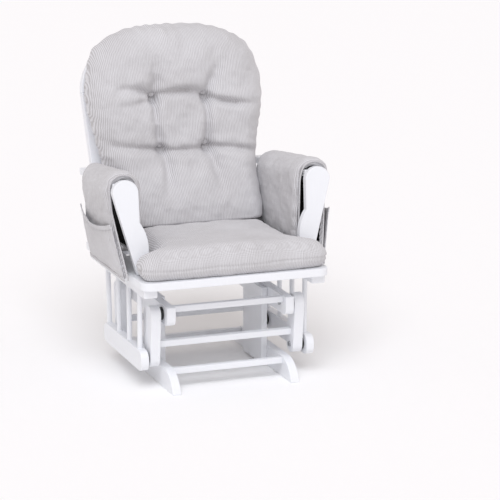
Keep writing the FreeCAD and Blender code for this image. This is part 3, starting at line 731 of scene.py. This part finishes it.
def seat_cushion_place(points, distance, face):
    """Top: rises from the seam in a quarter round, then crowns as a parabola.  Underside: flat.

    The crown falls to nothing under the back cushion.
    """
    ahead_of_back = np.clip((0.10 - points[:, 1]) / 0.12, 0, 1)
    crown = 0.010 * np.clip(1 - (points[:, 0] / 0.25) ** 2, 0, 1) * ahead_of_back
    if face > 0:
        height = SEAT_SEAM + (0.4145 + crown - SEAT_SEAM) * swell(distance, 0.05)
    else:
        height = SEAT_SEAM - (SEAT_SEAM - 0.3412) * swell(distance, 0.024)
    return np.stack([points[:, 0], points[:, 1], height], -1)


class GLIDER_OT_back_cushion(Operator):
    """Make the arched back cushion, swell it and tuft it"""

    bl_idname = "glider.back_cushion"
    bl_label = "Back cushion"

    def execute(self, context):
        # The grid and its smoothing draw the rim in, so the outline starts a little larger
        outline = BACK_MIDDLE + (back_line()[:-1] - BACK_MIDDLE) * np.array([1.034, 1.032])
        piece = pillow("back_cushion_cover", outline, BACK_MIDDLE, back_cushion_place)
        # The foot is flattened where it stands on the seat cushion
        points = read_points(piece)
        foot = 0.4195 + 0.02 * np.clip(points[:, 2] - 0.372, 0, 0.04)
        points[:, 2] = np.maximum(points[:, 2], foot)
        write_points(piece, points)
        fill_cover(piece, 0.012, back_cushion_free)
        tuft_back_cushion(piece)
        points = read_points(piece)
        points[:, 1] = np.minimum(points[:, 1], rake_plane(points[:, 2]) - 0.0012)
        points[:, 2] = np.maximum(points[:, 2], 0.4172)
        write_points(piece, points)
        weave_map(piece, points[:, 0], points[:, 2])
        finish_piece(piece, "seat", "cushion_linen", bpy.data.materials["cushion_linen_weave"])
        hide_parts("back_cushion")
        return {"FINISHED"}


class GLIDER_OT_buttons(Operator):
    """Cover the back cushion's buttons with the same cloth"""

    bl_idname = "glider.buttons"
    bl_label = "Cushion buttons"

    def execute(self, context):
        # A flat dome turned about its own axis, nipped in under its rim: radius and rise
        profile = [
            (0, 5.4), (4, 5.2), (8, 4.2), (10.8, 2.4), (12.0, 0.2),
            (12.1, -1.6), (10.6, -3.2), (7.5, -4.4), (3, -5), (0, -5),
        ]
        profile = smooth_line(np.array(profile), 22) * MM
        turn = np.linspace(0, 2 * np.pi, 40, endpoint=False)
        lean = math.atan(RAKE)
        cover = bmesh.new()
        cloth = read_points(bpy.data.objects["back_cushion_cover"])
        deep = rake_plane(cloth[:, 2]) - cloth[:, 1]
        for across, height in BUTTONS:
            away = np.linalg.norm(cloth[:, [0, 2]] - np.array([across, height]) * MM, axis=1)
            face = (away < 0.009) & (deep > 0.045)
            radius, rise = profile[:, 0, None], profile[:, 1, None] + 0 * turn
            up = radius * np.sin(turn)
            ahead = deep[face].mean() + 0.005 + rise
            place = rake_plane(height * MM)
            x = across * MM + radius * np.cos(turn)
            y = place - ahead * math.cos(lean) + up * math.sin(lean)
            z = height * MM + ahead * math.sin(lean) + up * math.cos(lean)
            rings = np.stack([x, y, z], -1)
            part = face_outwards(capped_piece("button", rings))
            cover.from_mesh(part.data)
            bpy.data.objects.remove(part)
        piece = mesh_piece("cushion_button_covers", [], [])
        cover.to_mesh(piece.data)
        cover.free()
        skin = read_points(piece)
        weave_map(piece, skin[:, 0], skin[:, 2])
        finish_piece(piece, "seat", "cushion_linen", bpy.data.materials["cushion_linen_weave"])
        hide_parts("cushion_buttons")
        return {"FINISHED"}


class GLIDER_OT_seat_cushion(Operator):
    """Make the T-shaped seat cushion, swell it and sew its seam"""

    bl_idname = "glider.seat_cushion"
    bl_label = "Seat cushion"

    def execute(self, context):
        half = smooth_line(np.array(SEAT_OUTLINE) * MM, 150)
        other = half[::-1] * np.array([-1, 1])
        outline = np.concatenate([half, other[1:-1]])
        middle = np.array([0, -0.285])
        piece = pillow("seat_cushion_cover", outline, middle, seat_cushion_place)
        fill_cover(piece, 0.009)
        points = read_points(piece)
        closed = np.concatenate([outline, outline[:1]])
        away = distance_to_line(points[:, :2], closed)
        rim = np.exp(-away / 0.015)
        seam = SEAT_SEAM + 0.0012 * ripple(points[:, :2], 0.16, 5)
        normal = read_normals(piece)
        groove = 0.006 * np.exp(-(((points[:, 2] - seam) / 0.0036) ** 2)) * rim
        under = 0.014 * np.clip((seam - points[:, 2]) / 0.03, 0, 1) * rim
        level = normal * np.array([1, 1, 0])
        points -= level * (groove + under)[:, None]
        slack = 0.0012 * ripple(points, 0.09, 7) + 0.0005 * ripple(points, 0.03, 8)
        points += normal * slack[:, None]
        puckers = 0.0009 * np.sin(points[:, 0] / 0.0045 + 2 * np.sin(points[:, 0] / 0.03))
        close = np.exp(-(((points[:, 2] - seam) / 0.011) ** 2)) * rim
        points += level * (puckers * close)[:, None]
        top = np.where(points[:, 1] > -0.02, 0.4162, 0.440)
        points[:, 2] = np.clip(points[:, 2], 0.3405, top)
        between_posts = np.clip(points[:, 0], -0.2315, 0.2315)
        points[:, 0] = np.where(points[:, 1] > -0.235, between_posts, points[:, 0])
        write_points(piece, points)
        weave_map(piece, points[:, 0], points[:, 1] - points[:, 2])
        finish_piece(piece, "seat", "cushion_linen", bpy.data.materials["cushion_linen_weave"])
        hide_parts("seat_cushion")
        return {"FINISHED"}


# ---------------------------------------------------------------- arm pads

# Outer skin of the right arm pad's front edge: across and up, from the outer flap's hem over
# the armrest to the inner flap's hem
PAD_SKIN = [
    (304, 321), (316, 390), (327, 453), (338, 530), (346, 576), (347, 602), (337, 625), (318, 639),
    (296, 644), (270, 639), (249, 621), (241, 592), (240, 540), (239.5, 470), (239, 384),
]
PAD_FRONT = -0.181
PAD_LENGTH = 0.334


def pad_frame(count=160):
    """The pad's front section: evenly spaced places on its skin and their inward directions."""
    skin = smooth_line(np.array(PAD_SKIN) * MM, count, 3)
    ahead = np.gradient(skin, axis=0)
    ahead /= np.linalg.norm(ahead, axis=1)[:, None]
    return skin, np.stack([-ahead[:, 1], ahead[:, 0]], -1)


def pad_thickness(share, along_arm):
    """How thick the pad is: 36 mm over the armrest, 13 to 19 mm on the flaps, less to the rear."""
    stations = [0, 0.1, 0.33, 0.40, 0.46, 0.52, 0.60, 0.66, 0.72, 1]
    front = np.interp(share, stations, [13, 17, 19, 25, 31, 36, 32, 24, 18, 14]) * MM
    return front * (1 - 0.2 * along_arm / PAD_LENGTH)


def pad_shift(share, along_arm, across, height):
    """How far a place of the bent pad moves: across, along the arm and up.

    Rearwards the crown drops, the outer side draws in and its rear edge comes forward.  The
    outer flap's foot is drawn forward to the post's foot; the inner flap runs on rearwards
    beside the back cushion and its hem falls.
    """
    taper = along_arm / PAD_LENGTH
    high = np.clip((height - 0.40) / 0.18, 0, 1)
    outer = np.clip((across - 0.27) / 0.06, 0, 1)
    flap = np.clip((0.30 - share) / 0.3, 0, 1)
    inner_hem = np.clip((share - 0.72) / 0.28, 0, 1)
    forward = 0.060 * flap * np.clip(1 - taper * 1.6, 0, 1) ** 1.5
    short = 0.046 * np.clip((0.60 - share) / 0.22, 0, 1) * taper**2
    inner = np.clip((share - 0.5) / 0.3, 0, 1) * taper
    return (
        -0.015 * taper * outer * high - 0.004 * inner,
        0.014 * inner - forward - short,
        -0.034 * taper * high - 0.020 * taper * inner_hem,
    )


def pad_place(share, along_arm, depth):
    """Put a place of the flat pad into space: round the section, then back along the arm."""
    skin, inward = pad_frame()
    spot = share * (len(skin) - 1)
    index = np.arange(len(skin))
    base = np.stack([np.interp(spot, index, skin[:, i]) for i in (0, 1)], -1)
    into = np.stack([np.interp(spot, index, inward[:, i]) for i in (0, 1)], -1)
    section = base + into * depth[:, None]
    x, y, z = pad_shift(share, along_arm, section[:, 0], section[:, 1])
    return np.stack([section[:, 0] + x, PAD_FRONT + along_arm + y, section[:, 1] + z], -1)


def right_pad_skin():
    """The flat padded sheet, swollen in from its four edges, then bent over the armrest."""
    length = np.linalg.norm(np.diff(pad_frame()[0], axis=0), axis=1).sum()
    corner = 0.02
    turn = np.linspace(0, np.pi / 2, 10)
    corners = []
    for start, (a, b) in enumerate(((1, 1), (-1, 1), (-1, -1), (1, -1))):
        swing = turn + start * np.pi / 2
        centre = np.array([a * (length / 2 - corner), b * (PAD_LENGTH / 2 - corner)])
        corners.append(centre + corner * np.stack([np.cos(swing), np.sin(swing)], -1))
    loop = np.concatenate(corners)
    run = np.concatenate([loop, loop[:1]])
    at = np.concatenate([[0], np.cumsum(np.linalg.norm(np.diff(run, axis=0), axis=1))])
    even = np.linspace(0, at[-1], 380, endpoint=False)
    outline = np.stack([np.interp(even, at, run[:, i]) for i in (0, 1)], -1)

    def place(points, distance, face):
        share = np.clip(points[:, 0] / length + 0.5, 0, 1)
        along = np.clip(points[:, 1] + PAD_LENGTH / 2, 0, PAD_LENGTH)
        depth = pad_thickness(share, along) * 0.5 * (1 - face * swell(distance, 0.022))
        return pad_place(share, along, depth)

    return pillow("right_arm_pad_cover", outline, np.zeros(2), place, rings=60), length


def pad_reading(points):
    """For points near the pad: place along the skin, place along the arm, depth under the skin.

    The nearest of a grid of places half way through the pad gives all three.
    """
    _, inward = pad_frame(120)
    grid = np.meshgrid(np.linspace(0, 1, 120), np.linspace(0, PAD_LENGTH, 60), indexing="ij")
    share, along = grid[0].ravel(), grid[1].ravel()
    half = 0.5 * pad_thickness(share, along)
    middle = pad_place(share, along, half)
    size = (middle**2).sum(1)
    nearest = [(size - 2 * part @ middle.T).argmin(1) for part in np.array_split(points, 100)]
    nearest = np.concatenate(nearest)
    inward = inward[nearest // 60]
    depth = ((points - middle[nearest])[:, [0, 2]] * inward).sum(1) + half[nearest]
    return share[nearest], along[nearest], depth, 2 * half[nearest], inward


def mirrored_copy(piece, name):
    """The same piece on the other side: every place mirrored across the middle."""
    twin = piece.copy()
    twin.data = piece.data.copy()
    twin.name = twin.data.name = name
    bpy.context.scene.collection.objects.link(twin)
    write_points(twin, read_points(twin) * np.array([-1, 1, 1]))
    twin.data.flip_normals()
    return twin


class GLIDER_OT_arm_pads(Operator):
    """Make the padded arm covers with their black lining and piped edges"""

    bl_idname = "glider.arm_pads"
    bl_label = "Arm pads"

    def execute(self, context):
        right, length = right_pad_skin()
        fill_cover(right, 0.006)
        points = read_points(right)
        share, along, depth, thick, inward = pad_reading(points)
        over = np.maximum(depth - thick - 0.0005, 0)
        points[:, [0, 2]] -= inward * over[:, None]
        normal = read_normals(right)
        outside = np.clip(1 - depth / (0.5 * thick), 0, 1)
        flat = np.stack([share * length, along], -1)
        loose = 0.0011 * ripple(flat, 0.08, 21) + 0.0005 * ripple(flat, 0.028, 22)
        near_edge = np.minimum(along, PAD_LENGTH - along)
        near_hem = np.minimum(share, 1 - share) * length
        # Pleats gathered along both curved edges: a sine of the way round, dying away inwards
        pleats = 0.0011 * np.sin(flat[:, 0] / 0.0075 + 2.5 * np.sin(flat[:, 0] / 0.05))
        pleats *= np.exp(-((np.clip(near_edge - 0.008, 0, 1) / 0.014) ** 2))
        points += normal * ((loose + pleats) * outside)[:, None]
        write_points(right, points)
        weave_map(right, points[:, 1], share * length)
        linen = bpy.data.materials["pad_linen_weave"]
        lining = bpy.data.materials["black_bonded_lining"]
        right.data.materials.append(linen)
        right.data.materials.append(lining)
        corners = np.empty(len(right.data.loops), np.int32)
        right.data.loops.foreach_get("vertex_index", corners)
        starts = np.empty(len(right.data.polygons), np.int32)
        right.data.polygons.foreach_get("loop_start", starts)
        # Faces on the inner side are lining, which stops a little short of the edges
        edge = np.clip(np.minimum(near_edge, near_hem) / 0.03, 0, 1)
        lined = (depth > (0.96 - 0.36 * edge) * thick)[corners[starts]]
        right.data.polygons.foreach_set("material_index", lined.astype(np.int32))
        left = mirrored_copy(right, "left_arm_pad_cover")
        for side, piece in (("left", left), ("right", right)):
            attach(piece, "seat")
            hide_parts(f"{side}_arm_pad")
        self.pipe_edges()
        return {"FINISHED"}

    def pipe_edges(self):
        """A cloth cord sewn in where the cover meets its lining, along the front and rear edges."""
        share = np.linspace(0.012, 0.988, 240)
        for end, along in (("front", -0.0015), ("rear", PAD_LENGTH + 0.0015)):
            path = pad_place(share, np.full(240, along), pad_thickness(share, along) * 0.5)
            right = face_outwards(tube_piece(f"right_pad_{end}_piping", path, 0.0026))
            points = read_points(right)
            weave_map(right, points[:, 0] + points[:, 2], points[:, 1])
            left = mirrored_copy(right, f"left_pad_{end}_piping")
            for piece in (left, right):
                finish_piece(piece, "seat", "pad_linen", bpy.data.materials["pad_linen_weave"])


class GLIDER_OT_pad_pockets(Operator):
    """Hang the pocket cloth on each pad's outer flap, its mouth sagging open"""

    bl_idname = "glider.pad_pockets"
    bl_label = "Pad pockets"

    def execute(self, context):
        # u runs rearwards and v upwards; the mouth dips as a power of a half sine wave
        columns, rows = 90, 46
        u, v = np.meshgrid(np.linspace(0, 1, columns), np.linspace(0, 1, rows))
        bow = np.sin(np.pi * u)
        bottom = 0.3265
        top = 0.489 - 0.024 * bow**0.8
        z = bottom + v * (top - bottom)
        front_edge = PAD_FRONT + 0.004 - 0.058 * np.clip((0.585 - z) / 0.263, 0, 1)
        y = front_edge + u * (0.103 - front_edge)
        start = np.stack([np.full_like(y, 0.40), y, z], -1).reshape(-1, 3)
        faces = grid_faces(rows, columns, False)[:, ::-1].tolist()
        right = mesh_piece("right_pocket_cloth", start, faces)
        press = right.modifiers.new("lie_on_pad", "SHRINKWRAP")
        press.target = bpy.data.objects["right_arm_pad_cover"]
        press.wrap_method = "PROJECT"
        press.use_project_x = True
        press.use_positive_direction = False
        press.use_negative_direction = True
        press.offset = 0.0022
        apply_modifiers(right)
        points = read_points(right)
        # Points that met no pad lie on the straight line of the outer flap instead
        lying = np.where(points[:, 0] > 0.39, 0.0, points[:, 0]).reshape(rows, columns)
        flap = 0.3055 + (points[:, 2] - 0.322) * 0.178
        lying = np.maximum(lying, flap.reshape(rows, columns) + 0.001)
        # The cloth stands away from the pad most in the middle of its mouth
        gape = 0.016 * bow**0.7 * v**1.6 + 0.004 * bow * np.sin(np.pi * v)
        sway = ripple(np.stack([y.ravel(), z.ravel()], -1), 0.06, 41).reshape(rows, columns)
        sway = 0.0012 * sway * bow
        points[:, 0] = (lying + gape + sway + 0.0006).ravel()
        write_points(right, points)
        weave_map(right, points[:, 1], points[:, 2])
        wall = right.modifiers.new("cloth_thickness", "SOLIDIFY")
        wall.thickness = 0.0016
        wall.offset = 1.0
        left = mirrored_copy(right, "left_pocket_cloth")
        hem_rows = slice(rows - 5, rows)
        sheet = points.reshape(rows, columns, 3)
        for side, piece in (("left", left), ("right", right)):
            finish_piece(piece, "seat", "pad_linen", bpy.data.materials["pad_linen_weave"])
            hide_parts(f"{side}_pad_pocket")
            self.hem(side, sheet[hem_rows], "mouth")
            self.hem(side, sheet[:4], "bottom")
            self.stitches(side, sheet[rows - 6], context.scene.glider_cloth.stitch)
        return {"FINISHED"}

    def hem(self, side, strip, name):
        """The cloth folded over along an edge: a second, slightly proud strip of it."""
        shifted = strip + np.array([0.0017, 0, 0])
        sign = 1 if side == "right" else -1
        shifted = shifted * np.array([sign, 1, 1])
        faces = grid_faces(*strip.shape[:2], False)[:, :: -sign]
        piece = mesh_piece(f"{side}_pocket_{name}_hem", shifted.reshape(-1, 3), faces.tolist())
        points = read_points(piece)
        weave_map(piece, points[:, 1], points[:, 2])
        wall = piece.modifiers.new("fold_thickness", "SOLIDIFY")
        wall.thickness = 0.0013
        wall.offset = 1.0
        finish_piece(piece, "seat", "pad_linen", bpy.data.materials["pad_linen_weave"])

    def stitches(self, side, line, length):
        """A row of short raised threads along a hem, each a long bead with eight faces."""
        sign = 1 if side == "right" else -1
        run = np.concatenate([[0], np.cumsum(np.linalg.norm(np.diff(line, axis=0), axis=1))])
        middle = np.arange(length, run[-1] - length, length)
        centre = np.stack([np.interp(middle, run, line[:, i]) for i in range(3)], -1)
        way = np.stack([np.interp(middle, run, np.gradient(line[:, i], run)) for i in range(3)], -1)
        way /= np.linalg.norm(way, axis=1)[:, None]
        bead = np.array([(-1, 0, 0), (0, 1, 0), (0, 0, 1), (0, -1, 0), (0, 0, -1), (1, 0, 0)], float)
        faces = np.array(
            [(0, 2, 1), (0, 3, 2), (0, 4, 3), (0, 1, 4), (5, 1, 2), (5, 2, 3), (5, 3, 4), (5, 4, 1)]
        )
        size = np.array([length * 0.42, 0.0006, 0.0006])
        across = np.cross(way, np.array([1.0, 0, 0]))
        local = bead * size
        points = (
            centre[:, None]
            + local[None, :, :1] * way[:, None]
            + local[None, :, 1:2] * across[:, None]
            + local[None, :, 2:] * np.array([1.0, 0, 0])
        )
        points = (points + np.array([0.0034, 0, 0])) * np.array([sign, 1, 1])
        every = (faces[None] + 6 * np.arange(len(middle))[:, None, None]).reshape(-1, 3).tolist()
        piece = mesh_piece(f"{side}_pocket_stitches", points.reshape(-1, 3), every)
        piece = face_outwards(piece)
        skin = read_points(piece)
        weave_map(piece, skin[:, 1], skin[:, 2])
        finish_piece(piece, "seat", "pad_linen", bpy.data.materials["pad_linen_weave"])


# ---------------------------------------------------------------- finishes and stage


class GLIDER_OT_finishes(Operator):
    """Make the materials and put them on the frame, bolts and bearings"""

    bl_idname = "glider.finishes"
    bl_label = "Finishes"

    def execute(self, context):
        ribbed_linen("cushion_linen_weave")
        ribbed_linen("pad_linen_weave", depth=0.9)
        bonded_lining()
        by_slot = {
            "white_wood": painted_wood(),
            "bearing_black": moulded_nylon(),
            "bolt_steel": zinc_plate(),
        }
        for part in frame["record"]["subparts"]:
            finish = by_slot.get(part["material_slot"])
            if finish is None:
                continue
            node = frame["nodes"][part["node"]]
            for place in node.material_slots:
                place.material = finish
        return {"FINISHED"}


class GLIDER_OT_stage(Operator):
    """Set up the pale floor, the soft light and the camera"""

    bl_idname = "glider.stage"
    bl_label = "Stage"

    def execute(self, context):
        scene = context.scene
        wide = 400.0 * np.array([(-1, -1, 0), (1, -1, 0), (1, 1, 0), (-1, 1, 0)])
        floor = mesh_piece("floor", wide, [(0, 1, 2, 3)])
        paper, _, _ = new_material(
            "matt_paper_floor", Base_Color=scene.glider_wood.floor, Roughness=1.0
        )
        floor.data.materials.append(paper)
        world = bpy.data.worlds.new("pale_studio")
        world.use_nodes = True
        sky = world.node_tree.nodes["Background"]
        sky.inputs["Color"].default_value = hex_colour("#FFF8F6")
        sky.inputs["Strength"].default_value = 0.6
        scene.world = world
        # White paint stays white with this one
        scene.view_settings.view_transform = "Standard"
        data = bpy.data.lights.new("window", "SUN")
        data.angle = math.radians(45)
        data.energy = 1.7
        data.color = hex_colour("#F6F9FF")[:3]
        lamp = bpy.data.objects.new("window", data)
        lamp.rotation_euler = Vector((-0.25, -0.55, 0.80)).to_track_quat("Z", "Y").to_euler()
        scene.collection.objects.link(lamp)
        view = bpy.data.cameras.new("camera")
        view.sensor_width = 36.0
        view.lens = 158.8
        view.clip_end = 1000.0
        camera = bpy.data.objects.new("camera", view)
        camera.location = (-2.0997, -6.0800, 1.8733)
        target = Vector((0.1336, -0.075, 0.3474))
        camera.rotation_euler = (target - camera.location).to_track_quat("-Z", "Y").to_euler()
        scene.collection.objects.link(camera)
        scene.camera = camera
        return {"FINISHED"}


class GLIDER_PT_panel(Panel):
    """The glider's operators and settings"""

    bl_label = "Glider nursery chair"
    bl_idname = "GLIDER_PT_panel"
    bl_space_type = "VIEW_3D"
    bl_region_type = "UI"
    bl_category = "Glider"

    def draw(self, context):
        for step in STEPS:
            self.layout.operator(step.bl_idname)
        for group in (context.scene.glider_cloth, context.scene.glider_wood):
            for name in group.__annotations__:
                self.layout.prop(group, name)


STEPS = (
    GLIDER_OT_finishes,
    GLIDER_OT_back_cushion,
    GLIDER_OT_buttons,
    GLIDER_OT_seat_cushion,
    GLIDER_OT_arm_pads,
    GLIDER_OT_pad_pockets,
    GLIDER_OT_stage,
)
CLASSES = (GliderCloth, GliderWood, *STEPS, GLIDER_PT_panel)


def register():
    """Add the classes and the settings to Blender."""
    for kind in CLASSES:
        bpy.utils.register_class(kind)
    bpy.types.Scene.glider_cloth = PointerProperty(type=GliderCloth)
    bpy.types.Scene.glider_wood = PointerProperty(type=GliderWood)


def unregister():
    """Take the classes and the settings out again."""
    del bpy.types.Scene.glider_wood
    del bpy.types.Scene.glider_cloth
    for kind in reversed(CLASSES):
        bpy.utils.unregister_class(kind)


def main():
    register()
    for step in STEPS:
        group, name = step.bl_idname.split(".")
        getattr(getattr(bpy.ops, group), name)()


if __name__ == "__main__":
    main()
